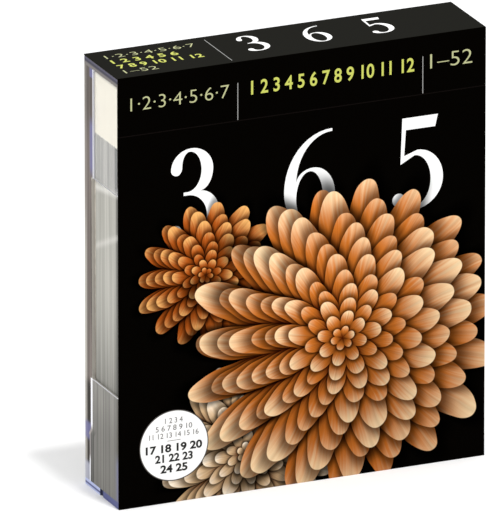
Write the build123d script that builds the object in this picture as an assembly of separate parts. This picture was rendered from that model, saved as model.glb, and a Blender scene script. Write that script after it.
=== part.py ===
"""Tear-off day calendar: a pad of day leaves in a clear moulded easel case, under a scored cover card.

Millimetres. X runs across the calendar, Y from its front to its back and Z up.
The origin is on the resting surface, under the middle of the case.
"""

from build123d import *
from math import cos, radians, sin
import os

# Day leaves, bound at the head and torn off along a line below it
LEAF_WIDTH = 154.1
LEAF_THICKNESS = 0.078
LEAF_LENGTH = 145.7
STUB_LENGTH = 25.0
TEAR_GAP = 0.4
LIFTING_LEAVES = 6
LEAVES_IN_MONTH = {
    "january": 27,
    "february": 24,
    "march": 26,
    "april": 26,
    "may": 26,
    "june": 26,
    "july": 27,
    "august": 26,
    "september": 26,
    "october": 27,
    "november": 25,
    "december": 27,
}

# Binding and backing of the pad
GLUE_THICKNESS = 0.8
GLUE_ROUND = 0.3
BOARD_THICKNESS = 1.0
TAPE_THICKNESS = 0.2
TAPE_WIDTH = 24.0
TAPE_LENGTH = 120.0
TAPE_SPACING = 84.0

# Cover card, scored so that its front folds up below the header, and its film of glue on the case
CARD_THICKNESS = 0.5
HEADER_LENGTH = 24.0
SCORE_GAP = 0.05
SCORE_BEVEL = 0.15
CARD_BEND = 0.35
COVER_GAP = 0.1
COVER_LIFT = 0.1
GLUE_FILM = 0.05

# Round seal stuck on the front cover, placed from its lower left corner
SEAL_RADIUS = 14.7
SEAL_THICKNESS = 0.12
SEAL_FROM_SIDE = 23.4
SEAL_FROM_FOOT = 23.6

# Clear case: a plate with walls in front for the pad and a rim behind for the leg.
# The plate steps back near the base, so that the pad's foot hangs free of it.
SIDE_WALL = 1.0
SIDE_GAP = 0.2
BASE_WALL = 3.0
TOP_WALL = 1.65
FOOT_GAP = 0.3
HEAD_GAP = 1.0
PLATE_THICKNESS = 1.2
RIM_WALL = 1.6
RECESS_DEPTH = 5.9
LOWER_WALL_HEIGHT = 46.0
UPPER_WALL_HEIGHT = 48.0
CASE_EDGE = 0.4
WINDOW_CORNER = 2.0
NOTCH_WIDTH = 3.0
NOTCH_DEPTH = 0.8
STEP_DEPTH = 2.0
STEP_FOOT = 22.0
STEP_RISE = 3.5
STEP_ROUND = 6.0
ROOT_ROUND = 2.0

# Folding leg on two pins that snap into ears behind the plate
LEG_WIDTH = 100.0
LEG_THICKNESS = 1.8
LEG_INSET = 0.4
LEG_LIFT = 1.6
LEG_CORNER = 6.0
LEG_OPENING = 30.0
LEG_STOP_GAP = 0.1
LEG_PIVOT_DROP = 44.0
FOOT_WIDTH = 16.0
ARCH_RISE = 12.0
RIB_THICKNESS = 2.0
RIB_AT_FOOT = 1.0
LOBE_RADIUS = 2.5
PIN_RADIUS = 1.6
PIN_CLEARANCE = 0.05
PIN_END_GAP = 0.2
PIVOT_SETBACK = 2.9
EAR_THICKNESS = 3.0
EAR_RADIUS = 2.9
EAR_GAP = 0.4
SNAP_SLOT = 2.2

# Sizes that follow from those above
LEAF_COUNT = sum(LEAVES_IN_MONTH.values())
PAD_THICKNESS = LEAF_COUNT * LEAF_THICKNESS
POCKET_WIDTH = LEAF_WIDTH + 2 * SIDE_GAP
WIDTH = POCKET_WIDTH + 2 * SIDE_WALL
POCKET_DEPTH = PAD_THICKNESS + BOARD_THICKNESS + TAPE_THICKNESS + GLUE_FILM
CASE_DEPTH = POCKET_DEPTH + PLATE_THICKNESS + RECESS_DEPTH
DEPTH = CARD_THICKNESS + COVER_GAP + CASE_DEPTH

# Places from front to back
FRONT = -DEPTH / 2
BACK = DEPTH / 2
CASE_FRONT = BACK - CASE_DEPTH
BOARD_FRONT = CASE_FRONT + PAD_THICKNESS
TAPE_FRONT = BOARD_FRONT + BOARD_THICKNESS
PLATE_FRONT = TAPE_FRONT + TAPE_THICKNESS + GLUE_FILM
PLATE_BACK = PLATE_FRONT + PLATE_THICKNESS
LEG_FRONT = BACK - LEG_INSET - LEG_THICKNESS

# Heights
LEAF_FOOT = BASE_WALL + FOOT_GAP
TEAR_LINE = LEAF_FOOT + LEAF_LENGTH
STUB_TOP = TEAR_LINE + STUB_LENGTH
POCKET_TOP = STUB_TOP + GLUE_THICKNESS + HEAD_GAP
CASE_TOP = POCKET_TOP + TOP_WALL
PANEL_FOOT = CASE_TOP + GLUE_FILM
HEIGHT = PANEL_FOOT + CARD_THICKNESS
SCORE_LINE = HEIGHT - HEADER_LENGTH
WINDOW_TOP = CASE_TOP - UPPER_WALL_HEIGHT
LEG_FOOT = BASE_WALL + LEG_LIFT

# The leg's pivot, and its heel above it that meets the plate when the leg is open
PIVOT_Y = PLATE_BACK + PIVOT_SETBACK
PIVOT_Z = HEIGHT - LEG_PIVOT_DROP
LEG_SETBACK = LEG_FRONT - PIVOT_Y
OPEN = radians(LEG_OPENING)
HEEL = (LEG_SETBACK * cos(OPEN) + PIVOT_SETBACK - LEG_STOP_GAP) / sin(OPEN)

FROM_FRONT_UP = (Align.CENTER, Align.MIN, Align.MIN)


def block(width, front, back, foot, top):
    """A block centred across the calendar, between two depths and two heights."""
    return Pos(0, front, foot) * Box(width, back - front, top - foot, align=FROM_FRONT_UP)


def front_slab(outline, front, thickness):
    """An outline drawn across and up the calendar, extruded backwards from a depth."""
    return extrude(Plane.XZ.offset(-front) * outline, amount=-thickness)


def side_slab(outline, left, thickness):
    """An outline drawn in depth and height, extruded across from its left side."""
    return extrude(Plane.YZ.offset(left) * outline, amount=thickness)


def on_both_sides(piece):
    """A piece on the right side and its mirror image on the left."""
    return piece + mirror(piece, Plane.YZ)


def leaf(number, top):
    """One day leaf, counted from the front of the pad, up to a height."""
    front = CASE_FRONT + number * LEAF_THICKNESS
    return block(LEAF_WIDTH, front, front + LEAF_THICKNESS, LEAF_FOOT, top)


def day_leaves():
    """The first leaves, each free to lift below the tear line, and the rest of the year's by month."""
    nodes = {f"leaf_{n + 1}": leaf(n, TEAR_LINE - TEAR_GAP) for n in range(LIFTING_LEAVES)}
    first = 0
    for month, count in LEAVES_IN_MONTH.items():
        bound = range(max(first, LIFTING_LEAVES), first + count)
        nodes[f"leaves_{month}"] = Compound([leaf(n, TEAR_LINE) for n in bound])
        first += count
    return nodes


def stub_block():
    """The heads of all the leaves above the tear line, bound into one block."""
    return block(LEAF_WIDTH, CASE_FRONT, BOARD_FRONT, TEAR_LINE, STUB_TOP)


def padding_glue():
    """The film of padding glue along the top of the stubs and the backing board."""
    film = block(LEAF_WIDTH, CASE_FRONT, TAPE_FRONT, STUB_TOP, STUB_TOP + GLUE_THICKNESS)
    return fillet(film.faces().sort_by(Axis.Z)[-1].edges(), GLUE_ROUND)


def backing_board():
    """The stiff board behind the last leaf."""
    return block(LEAF_WIDTH, BOARD_FRONT, TAPE_FRONT, LEAF_FOOT, STUB_TOP)


def pad_tape():
    """Two strips of double-sided tape that hold the backing board to the plate."""
    foot = (LEAF_FOOT + STUB_TOP - TAPE_LENGTH) / 2
    strip = block(TAPE_WIDTH, TAPE_FRONT, TAPE_FRONT + TAPE_THICKNESS, foot, foot + TAPE_LENGTH)
    return Compound([Pos(side * TAPE_SPACING / 2) * strip for side in (-1, 1)])


def cover_header():
    """The part of the cover card that stays: its header and the top panel glued to the case."""
    header = block(WIDTH, FRONT, FRONT + CARD_THICKNESS, SCORE_LINE, HEIGHT)
    header = chamfer(header.edges().filter_by(Axis.X).group_by(Axis.Z)[0].sort_by(Axis.Y)[0], SCORE_BEVEL)
    card = header + block(WIDTH, FRONT, BACK, PANEL_FOOT, HEIGHT)
    bend = card.edges().filter_by(Axis.X).group_by(Axis.Z)[-1].sort_by(Axis.Y)[0]
    return fillet(bend, CARD_BEND)


def front_cover():
    """The cover's front panel, which folds up about the score below the header."""
    panel = block(WIDTH, FRONT, FRONT + CARD_THICKNESS, COVER_LIFT, SCORE_LINE - SCORE_GAP)
    return chamfer(panel.edges().filter_by(Axis.X).group_by(Axis.Z)[-1].sort_by(Axis.Y)[0], SCORE_BEVEL)


def cover_seal():
    """The round paper seal on the front cover."""
    place = Pos(SEAL_FROM_SIDE - WIDTH / 2, SEAL_FROM_FOOT + COVER_LIFT)
    return front_slab(place * Circle(SEAL_RADIUS), FRONT - SEAL_THICKNESS, SEAL_THICKNESS)


def hinge_ear():
    """The right-hand ear behind the plate, with a snap slot into its bore."""
    neck = Pos(PLATE_BACK, PIVOT_Z) * Rectangle(
        PIVOT_SETBACK, 2 * EAR_RADIUS, align=(Align.MIN, Align.CENTER)
    )
    at_pivot = Pos(PIVOT_Y, PIVOT_Z)
    slot = at_pivot * Rectangle(2 * EAR_RADIUS, SNAP_SLOT, align=(Align.MIN, Align.CENTER))
    outline = neck + at_pivot * Circle(EAR_RADIUS) - at_pivot * Circle(PIN_RADIUS + PIN_CLEARANCE) - slot
    return side_slab(outline, LEG_WIDTH / 2 + EAR_GAP, EAR_THICKNESS)


def hollow(width, face, mouth):
    """The hollow between one stepped face of the plate and its open mouth, in front or behind."""
    outline = make_face(
        Polyline(
            (mouth, BASE_WALL),
            (face + STEP_DEPTH, BASE_WALL),
            (face + STEP_DEPTH, STEP_FOOT),
            (face, STEP_FOOT + STEP_RISE),
            (face, POCKET_TOP),
            (mouth, POCKET_TOP),
            close=True,
        )
    )
    step = [corner for corner in outline.vertices() if BASE_WALL < corner.Y < POCKET_TOP]
    return side_slab(fillet(step, STEP_ROUND), -width / 2, width)


def easel_case():
    """The clear case: plate, base, top, four corner side walls, back rim and hinge ears."""
    shell = fillet(block(WIDTH, CASE_FRONT, BACK, 0, CASE_TOP).edges(), CASE_EDGE)
    pocket = hollow(POCKET_WIDTH, PLATE_FRONT, CASE_FRONT)
    root = pocket.edges().filter_by(Axis.X).group_by(Axis.Z)[0].sort_by(Axis.Y)[-1]
    shell -= fillet(root, ROOT_ROUND)
    shell -= hollow(WIDTH - 2 * RIM_WALL, PLATE_BACK, BACK)
    window_height = WINDOW_TOP - LOWER_WALL_HEIGHT
    window = Pos(CASE_FRONT, LOWER_WALL_HEIGHT) * Rectangle(
        PLATE_FRONT - CASE_FRONT, window_height, align=Align.MIN
    )
    inner_corners = window.vertices().group_by(Axis.Y)
    window = fillet([pair.sort_by(Axis.X)[-1] for pair in inner_corners], WINDOW_CORNER)
    shell -= side_slab(window, -WIDTH / 2, WIDTH)
    notch_front = (CASE_FRONT + BACK) / 2 - NOTCH_WIDTH / 2
    notch = block(WIDTH, notch_front, notch_front + NOTCH_WIDTH, 0, BASE_WALL)
    notch -= block(WIDTH - 2 * NOTCH_DEPTH, notch_front, notch_front + NOTCH_WIDTH, 0, BASE_WALL)
    return shell - notch + on_both_sides(hinge_ear())


def leg_panel():
    """The leg's flat panel, arched between its two feet and rounded at its heel."""
    height = PIVOT_Z + HEEL - LEG_FOOT
    outline = Pos(0, LEG_FOOT) * Rectangle(LEG_WIDTH, height, align=(Align.CENTER, Align.MIN))
    outline = fillet(outline.vertices().group_by(Axis.Y)[-1], LEG_CORNER)
    half_span = LEG_WIDTH / 2 - FOOT_WIDTH
    arch_radius = (half_span**2 + ARCH_RISE**2) / (2 * ARCH_RISE)
    outline -= Pos(0, LEG_FOOT + ARCH_RISE - arch_radius) * Circle(arch_radius)
    return front_slab(outline, LEG_FRONT, LEG_THICKNESS)


def leg_rib():
    """The right-hand rib down the leg, tapered to the foot, with its lobe and hinge pin."""
    taper = Polyline(
        (LEG_FRONT, LEG_FOOT),
        (LEG_FRONT, PIVOT_Z),
        (PIVOT_Y - LOBE_RADIUS, PIVOT_Z),
        (LEG_FRONT - RIB_AT_FOOT, LEG_FOOT),
        close=True,
    )
    lobe = Pos(PIVOT_Y, PIVOT_Z) * Circle(LOBE_RADIUS)
    bridge = Pos(PIVOT_Y, PIVOT_Z) * Rectangle(LEG_SETBACK, LOBE_RADIUS, align=Align.MIN)
    rib = side_slab(make_face(taper) + lobe + bridge, LEG_WIDTH / 2 - RIB_THICKNESS, RIB_THICKNESS)
    pin_length = EAR_GAP + EAR_THICKNESS - PIN_END_GAP
    pin = side_slab(Pos(PIVOT_Y, PIVOT_Z) * Circle(PIN_RADIUS), LEG_WIDTH / 2, pin_length)
    return rib + pin


def easel_leg():
    """The clear folding leg: panel, two stiffening ribs and two hinge pins."""
    return leg_panel() + on_both_sides(leg_rib())


def main():
    nodes = {
        "easel_case": easel_case(),
        "easel_leg": easel_leg(),
        "backing_board": backing_board(),
        "pad_tape": pad_tape(),
        "stub_block": stub_block(),
        "padding_glue": padding_glue(),
        "cover_header": cover_header(),
        "front_cover": front_cover(),
        "cover_seal": cover_seal(),
        **day_leaves(),
    }
    os.makedirs("parts", exist_ok=True)
    for name, shape in nodes.items():
        export_step(shape, f"parts/{name}.step")
    print(f"case {WIDTH:.1f} x {DEPTH:.2f} x {HEIGHT:.1f} mm, {LEAF_COUNT} leaves in {len(nodes)} nodes")
    print(f"leg pivot at y {PIVOT_Y:.3f}, z {PIVOT_Z:.3f}, heel {HEEL:.2f} above it")
    print(f"score at y {FRONT:.3f}, z {SCORE_LINE:.3f}; tear line at y {CASE_FRONT:.3f}, z {TEAR_LINE:.3f}")


main()
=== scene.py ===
"""Dresses a tear-off day calendar: clear case, bound pad, printed cover card and a studio stage.

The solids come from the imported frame, in metres. X runs across the calendar, Y from its front to
its back and Z up. Printed pictures are painted in millimetres, across and up the card.
"""

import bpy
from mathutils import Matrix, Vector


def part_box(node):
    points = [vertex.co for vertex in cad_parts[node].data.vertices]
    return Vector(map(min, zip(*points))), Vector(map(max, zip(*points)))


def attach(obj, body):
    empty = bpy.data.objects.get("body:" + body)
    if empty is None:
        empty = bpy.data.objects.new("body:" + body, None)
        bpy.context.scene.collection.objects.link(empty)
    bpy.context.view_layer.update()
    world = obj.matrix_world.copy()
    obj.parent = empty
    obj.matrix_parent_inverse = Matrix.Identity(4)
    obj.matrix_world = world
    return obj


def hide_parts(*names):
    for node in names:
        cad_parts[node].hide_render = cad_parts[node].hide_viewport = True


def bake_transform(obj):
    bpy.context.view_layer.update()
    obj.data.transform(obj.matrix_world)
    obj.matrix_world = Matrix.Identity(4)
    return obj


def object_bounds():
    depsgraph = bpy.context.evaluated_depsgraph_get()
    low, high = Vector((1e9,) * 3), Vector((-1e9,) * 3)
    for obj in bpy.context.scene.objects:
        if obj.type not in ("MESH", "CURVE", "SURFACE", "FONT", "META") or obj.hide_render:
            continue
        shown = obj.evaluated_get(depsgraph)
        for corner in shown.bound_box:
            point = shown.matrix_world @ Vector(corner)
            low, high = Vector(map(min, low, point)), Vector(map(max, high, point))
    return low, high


bl_info = {
    "name": "Tear-off Day Calendar",
    "version": (1, 0, 0),
    "blender": (4, 5, 0),
    "location": "View3D > Sidebar > Calendar",
    "description": "Dresses a tear-off day calendar in its clear easel case",
    "category": "Object",
}

import math
from typing import NamedTuple

import bmesh
import bpy
from bpy.props import FloatProperty, FloatVectorProperty, PointerProperty
from bpy.types import Operator, Panel, PropertyGroup
from mathutils import Matrix, Vector

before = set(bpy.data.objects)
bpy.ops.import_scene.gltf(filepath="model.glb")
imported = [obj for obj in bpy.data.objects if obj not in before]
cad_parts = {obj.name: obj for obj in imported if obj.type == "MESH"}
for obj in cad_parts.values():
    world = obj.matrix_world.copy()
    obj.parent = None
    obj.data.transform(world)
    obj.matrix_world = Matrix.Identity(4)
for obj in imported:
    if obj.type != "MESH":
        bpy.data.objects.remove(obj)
CAD_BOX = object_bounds()

MM = 0.001
PER_MM = 1 / MM

# Solids of the frame, in metres where new pieces are placed by them and in millimetres elsewhere
CARD_LOW, CARD_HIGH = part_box("front_cover")
HEADER_LOW, HEADER_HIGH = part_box("cover_header")
SEAL_LOW, SEAL_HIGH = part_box("cover_seal")
CASE_LOW, CASE_HIGH = (corner * PER_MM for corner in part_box("easel_case"))
STUB_LOW, STUB_HIGH = (corner * PER_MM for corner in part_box("stub_block"))
BOUND_LOW, BOUND_HIGH = (corner * PER_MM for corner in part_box("leaves_january"))
GLUE_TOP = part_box("padding_glue")[1].z * PER_MM
BOARD_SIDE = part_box("backing_board")[1].x * PER_MM
TAPE_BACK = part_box("pad_tape")[1].y * PER_MM
MONTHS = [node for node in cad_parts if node.startswith("leaves_")]
LIFTING = sorted(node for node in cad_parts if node.startswith("leaf_"))

# The photograph's frame, and where the calendar's centre is in it
PHOTO_WIDTH_PX, PHOTO_HEIGHT_PX = 499, 516
CENTRE_AT_PX = (285.2, 255.6)
SENSOR = 36.0


def display(red, green, blue):
    """A linear colour from display values out of 255."""
    shares = (red / 255, green / 255, blue / 255)
    return tuple(s / 12.92 if s <= 0.04045 else ((s + 0.055) / 1.055) ** 2.4 for s in shares)


def a_colour(name, description, default):
    return FloatVectorProperty(
        name=name, description=description, default=default, subtype="COLOR", size=3, min=0, max=1
    )


def a_length(name, description, default):
    return FloatProperty(name=name, description=description, default=default, unit="LENGTH", min=0)


def a_number(name, description, default):
    return FloatProperty(name=name, description=description, default=default, min=0)


def an_angle(name, description, default):
    return FloatProperty(name=name, description=description, default=default, subtype="ANGLE")


class CaseSettings(PropertyGroup):
    """The clear moulded plastic, and the light that gathers in its edges."""

    tint: a_colour("Tint", "Colour that long paths through the plastic take", (0.5, 0.52, 0.92))
    tint_density: a_number("Tint density", "How fast the plastic takes its tint, per metre", 14.0)
    # Painted shade on the sides of the back rim, darker near the base
    smoke: a_colour("Smoke", "Sides of the back rim", display(128, 118, 112))
    deep_smoke: a_colour("Deep smoke", "Sides of the back rim near the base", display(52, 47, 41))
    # Painted sheen: cool reflections on the sides of the back rim
    sheen: a_colour("Sheen", "Cool patches on the sides of the back rim", display(114, 114, 158))
    # Painted highlight on the rounded edge of the back rim, also painted on the window's corners and the
    # lower walls' tops
    edge: a_colour("Edge", "Rounded edge of the back rim", display(176, 172, 164))
    # Painted on the lower side walls: the leaf edges behind them, with the walls' reflection
    streak: a_colour("Streak", "Leaf edges seen through the lower side walls", display(146, 144, 138))
    # Painted light on the ends of the top wall, and painted shade on the gap below them
    head: a_colour("Head", "Ends of the top wall", display(88, 86, 104))
    shade: a_colour("Shade", "Gap below the ends of the top wall", display(120, 115, 113))
    # Painted light gathered in the ends of the base, and painted shade in their notch
    foot: a_colour("Foot", "Ends of the base in front of its notch", display(88, 92, 134))
    pale_foot: a_colour("Pale foot", "Ends of the base behind its notch", display(178, 186, 220))
    notch: a_colour("Notch", "Notch in the ends of the base", display(62, 64, 88))
    line: a_colour("Line", "Lit edges of the side walls", (0.86, 0.86, 0.9))
    gathered: a_number("Gathered", "How much of an edge shows its gathered light", 1.0)
    roughness: a_number("Roughness", "Roughness of the moulded faces", 0.02)
    scuffing: a_number("Scuffing", "Added roughness where the case is handled", 0.06)


class PaperSettings(PropertyGroup):
    """The pad, its board and its binding."""

    stub: a_colour("Stub", "Cut edges of the unprinted heads", (0.85, 0.806, 0.665))
    edge_light: a_colour("Light edge", "Lightest cut edges of the leaves", display(193, 191, 183))
    edge_dark: a_colour("Dark edge", "Darkest cut edges of the leaves", display(143, 142, 134))
    leaf: a_colour("Leaf", "Unprinted paper of a leaf", display(240, 238, 232))
    board: a_colour("Board", "Backing board", display(196, 189, 176))
    glue: a_colour("Glue", "Dried padding glue", display(226, 220, 206))
    tape: a_colour("Tape", "Mounting tape", display(214, 206, 186))
    bend: a_length("Bend", "Length of a lifted leaf that bends below the tear line", 26 * MM)
    tooth_pitch: a_length("Tooth pitch", "Spacing of the perforation's teeth", 2.5 * MM)
    tooth: a_length("Tooth", "Height of the perforation's teeth", 0.35 * MM)


class PrintSettings(PropertyGroup):
    """Inks and figures on the cover card."""

    black: a_colour("Black", "Ink of the front panel", (0.0012, 0.0009, 0.0006))
    # Black ink of the top panel, painted lighter to stand for the light that falls on it from above
    charcoal: a_colour("Charcoal", "Ink of the top panel", (0.014, 0.0138, 0.0118))
    # Worn ink along the score, lightened further by a painted highlight
    crease: a_colour("Crease", "Worn ink along the score", (0.008, 0.006, 0.0055))
    core: a_colour("Core", "Unprinted back of the card", display(206, 200, 188))
    white: a_colour("White", "Large figures", (0.93, 0.93, 0.92))
    grey: a_colour("Grey", "Fine figures on the seal", display(84, 82, 80))
    dark: a_colour("Dark", "Bold figures on the seal", (0.006, 0.006, 0.006))
    fine: a_colour("Fine figures", "Fine figures on the card", display(180, 182, 136))
    bold: a_colour("Bold figures", "Bold figures on the card", display(193, 198, 92))
    rule: a_colour("Rules", "Thin rules on the card", display(150, 150, 148))
    film: a_length("Ink film", "How far print stands off the paper", 0.02 * MM)
    rule_width: a_length("Rule width", "Width of the thin rules", 0.34 * MM)
    title_height: a_length("Title height", "Height of the large figures", 38 * MM)


class StageSettings(PropertyGroup):
    """Camera, floor and lights."""

    azimuth: an_angle("Azimuth", "Camera's turn to the right of the front", math.radians(-23.7))
    elevation: an_angle("Elevation", "Camera's height above level", math.radians(19.5))
    distance: a_length("Distance", "Camera to the calendar's centre", 8.0)
    pixels_per_mm: a_number("Pixels per mm", "Scale of the view at the calendar's centre", 2.557)
    floor: a_colour("Floor", "Pale studio floor", (0.92, 0.92, 0.92))
    floor_glow: a_number("Floor glow", "Light that comes up through the studio floor", 0.06)
    ambient: a_number("Ambient", "Strength of the studio's even light", 0.86)
    key: a_number("Key", "Power of the key light above the front, in watts", 17.0)
    key_size: a_length("Key size", "Width of the key light", 0.14)
    fill: a_number("Fill", "Power of the soft fill light from the left, in watts", 3.5)
    fill_size: a_length("Fill size", "Width of the fill light", 0.9)


class CalendarSettings(PropertyGroup):
    """All that a user may change."""

    case: PointerProperty(type=CaseSettings)
    paper: PointerProperty(type=PaperSettings)
    ink: PointerProperty(type=PrintSettings)
    stage: PointerProperty(type=StageSettings)


def settings():
    return bpy.context.scene.tear_off_calendar


def operator(operation):
    """A method that adds a Math node to its value's shader."""
    return lambda value, *other: value.shader.math(operation, value, *other)


class Value:
    """What one socket gives over a surface. Arithmetic on it adds Math nodes to its shader."""

    def __init__(self, shader, socket):
        self.shader = shader
        self.socket = socket

    def __rsub__(self, other):
        return self.shader.math("SUBTRACT", other, self)

    __add__ = __radd__ = operator("ADD")
    __mul__ = __rmul__ = operator("MULTIPLY")
    __sub__ = operator("SUBTRACT")
    __truediv__ = operator("DIVIDE")
    __pow__ = operator("POWER")
    __abs__ = operator("ABSOLUTE")
    __lt__ = operator("LESS_THAN")
    __gt__ = operator("GREATER_THAN")
    __or__ = operator("MAXIMUM")

    def step(self, low, high):
        """Zero below low, one above high and a smooth step between them."""
        ends = {"Value": self, "From Min": low, "From Max": high}
        return self.shader.add("MapRange", {"interpolation_type": "SMOOTHSTEP", "clamp": False}, ends)

    def between(self, low, high):
        """One between low and high, and zero outside them."""
        return (self > low) * (self < high)

    def around(self, low, high, blur):
        """One between low and high, with smooth steps at both."""
        return self.step(low - blur, low + blur) * (1 - self.step(high - blur, high + blur))

    def mix(self, first, second):
        """Blends two colours, by this value's share of the second."""
        first, second = (c if isinstance(c, Value) else (*c, 1) for c in (first, second))
        return self.shader.add("Mix", {"data_type": "RGBA"}, {0: self, 6: first, 7: second}, output=2)

    def dim(self, colour):
        """A colour times this value, from 0 to 1."""
        return self.mix((0, 0, 0), colour)


class Shader:
    """The nodes of one material, or of a group that materials share."""

    def __init__(self, name, group=False):
        if group:
            self.tree = bpy.data.node_groups.new(name, "ShaderNodeTree")
        else:
            self.material = bpy.data.materials.new(name)
            self.material.use_nodes = True
            self.tree = self.material.node_tree
            self.tree.nodes.clear()

    def add(self, kind, options=None, inputs=None, output=0):
        """Adds a node: its options, then its sockets' values or links. Gives one of its outputs, if any."""
        node = self.tree.nodes.new(kind if kind.startswith("NodeGroup") else "ShaderNode" + kind)
        for name, option in (options or {}).items():
            setattr(node, name, option)
        for name, given in (inputs or {}).items():
            if isinstance(given, Value):
                self.tree.links.new(given.socket, node.inputs[name])
            else:
                node.inputs[name].default_value = given
        return Value(self, node.outputs[output]) if node.outputs else None

    def math(self, operation, *operands):
        return self.add("Math", {"operation": operation}, dict(enumerate(operands)))

    def parts(self, vector, kind="SeparateXYZ"):
        node = self.add(kind, None, {0: vector}).socket.node
        return tuple(Value(self, socket) for socket in node.outputs)

    def noise(self, place, scale, detail=2.0, output="Fac"):
        """Cloudy noise by a place, given as one value or as its parts."""
        if isinstance(place, tuple):
            place = self.add("CombineXYZ", None, dict(enumerate(place)))
        return self.add("TexNoise", None, {"Vector": place, "Scale": scale, "Detail": detail}, output)

    def object_place(self):
        return self.add("TexCoord", output="Object")

    def millimetres(self):
        """The place on the object in millimetres: across, deep and up."""
        scaled = {0: self.object_place(), "Scale": PER_MM}
        return self.parts(self.add("VectorMath", {"operation": "SCALE"}, scaled))

    def sheet_millimetres(self):
        """The place on a sheet that bends, in millimetres across and up it when flat."""
        across, up, _ = self.parts(self.add("UVMap", {"uv_map": FLAT_PLACE}))
        return across, up

    def bump(self, height, distance):
        return self.add("Bump", None, {"Height": height, "Distance": distance})

    def principled(self, **inputs):
        """A Principled surface, its sockets named with underscores for spaces."""
        named = {}
        for name, given in inputs.items():
            socket = name.replace("_", " ").title().replace("Ior", "IOR")
            named[socket] = (*given, 1) if isinstance(given, tuple) else given
        return self.add("BsdfPrincipled", None, named)

    def finish(self, surface, **others):
        """Ends the tree in a surface, and gives the material."""
        self.add("OutputMaterial", None, {"Surface": surface, **others})
        return self.material

    def surface(self, base_color, roughness, **inputs):
        """Ends the tree in a Principled surface, and gives the material."""
        return self.finish(self.principled(base_color=base_color, roughness=roughness, **inputs))


class Bloom(NamedTuple):
    """A many-petalled flower in a printed picture: its place and size in millimetres, and its colours."""

    across: float
    up: float
    radius: float
    rings: int
    petals: int
    turn: float
    deep: tuple
    middle: tuple
    pale: tuple


GINGER = (display(120, 40, 8), display(218, 122, 44), display(252, 222, 176))
AMBER = (display(84, 30, 8), display(190, 92, 28), display(244, 186, 112))
CREAM = (display(150, 92, 52), display(226, 188, 142), display(252, 240, 220))
COVER_BLOOMS = (
    Bloom(-24.0, 16.0, 38.0, 8, 17, 0.4, *CREAM),
    Bloom(-41.0, 92.0, 30.0, 8, 15, 0.15, *AMBER),
    Bloom(17.0, 58.0, 66.0, 11, 19, 0.3, *GINGER),
)
# How far petals stray, by the bloom's radius, and the angle that light comes from
RUFFLE = 0.07
LIGHT_FROM = 2.1
# Where a petal starts, by the next ring's reach, how far its sides fall back, and how many veins it has
PETAL_ROOT = 0.62
PETAL_FALL = 0.36
VEINS = 14
RING_NUMBERS = ("radius", "angle", "light", "reach", "inner", "count", "start", "seed")
RING_COLOURS = ("ground", "deep", "middle", "pale")


def petal_ring():
    """A group that paints one ring of petals, with the shadow that it casts on the ring outside it."""
    shader = Shader("petal_ring", group=True)
    sockets = shader.tree.interface
    for name in RING_NUMBERS:
        sockets.new_socket(name, in_out="INPUT", socket_type="NodeSocketFloat")
    for name in RING_COLOURS:
        sockets.new_socket(name, in_out="INPUT", socket_type="NodeSocketColor")
    sockets.new_socket("picture", in_out="OUTPUT", socket_type="NodeSocketColor")
    given = shader.add("NodeGroupInput").socket.node.outputs
    radius, angle, light, reach, inner, count, start, seed = (Value(shader, given[n]) for n in RING_NUMBERS)
    ground, deep, middle, pale = (Value(shader, given[n]) for n in RING_COLOURS)

    turns = angle * count / math.tau + start
    petal = shader.math("FLOOR", turns)
    number = shader.math("WRAP", petal, count, 0.0) + seed * 41.3
    chance = shader.add("TexWhiteNoise", {"noise_dimensions": "1D"}, {"W": number})
    spread = abs(turns - petal - 0.5) * 2
    margin = (chance * 0.1 + 0.95) * (1 - spread**2.2 * PETAL_FALL) * reach - radius
    shade = margin.step(reach * -0.16 - 0.6, 0.0)
    cover = margin.step(0.0, 0.3)
    root = inner * PETAL_ROOT
    along = ((radius - root) / (reach - root)) | 0.0
    veins = {"W": turns * VEINS + seed * 53.7, "Scale": 1.0, "Detail": 3.0}
    grain = shader.add("TexNoise", {"noise_dimensions": "1D"}, veins)
    tone = along * 0.72 + chance * 0.16 + grain * 0.3 - spread * 0.12
    rib = spread.step(0.0, 0.16)
    form = (along * 0.75 + 0.3) * (1 - spread**3 * 0.38) * (rib * 0.14 + 0.86) * light
    hue = tone.step(0.12, 0.62).mix(deep, middle)
    hue = tone.step(0.55, 1.15).mix(hue, pale)
    shaded = (1 - shade * 0.72).dim(ground)
    shader.add("NodeGroupOutput", None, {"picture": cover.mix(shaded, form.dim(hue))})
    return shader.tree


def paint_bloom(shader, across, up, bloom, ground):
    """Paints a bloom over a ground colour, from its outer petals to its heart."""
    ring_group = bpy.data.node_groups.get("petal_ring") or petal_ring()
    ruffle = shader.noise((across, up), 2.4 / bloom.radius, output="Color")
    drift_across, drift_up, _ = shader.parts(ruffle, "SeparateColor")
    x = across - bloom.across + (drift_across - 0.5) * (RUFFLE * bloom.radius)
    y = up - bloom.up + (drift_up - 0.5) * (RUFFLE * bloom.radius)
    shared = {
        "radius": (x * x + y * y) ** 0.5,
        "angle": shader.math("ARCTAN2", y, x),
        "deep": (*bloom.deep, 1),
        "middle": (*bloom.middle, 1),
        "pale": (*bloom.pale, 1),
    }
    shared["light"] = shader.math("COSINE", shared["angle"] - LIGHT_FROM) * 0.2 + 0.86
    for ring in range(bloom.rings):
        reach, inner = (bloom.radius * (1 - (ring + n) / bloom.rings) ** 1.05 for n in (0, 1))
        own = {
            "reach": reach,
            "inner": inner,
            "count": float(max(5, round(bloom.petals * (reach / bloom.radius) ** 0.45))),
            "start": bloom.turn + ring * 0.5,
            "seed": ring + bloom.turn,
            "ground": ground if isinstance(ground, Value) else (*ground, 1),
        }
        ground = shader.add("Group", {"node_tree": ring_group}, {**shared, **own})
    return ground


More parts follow.
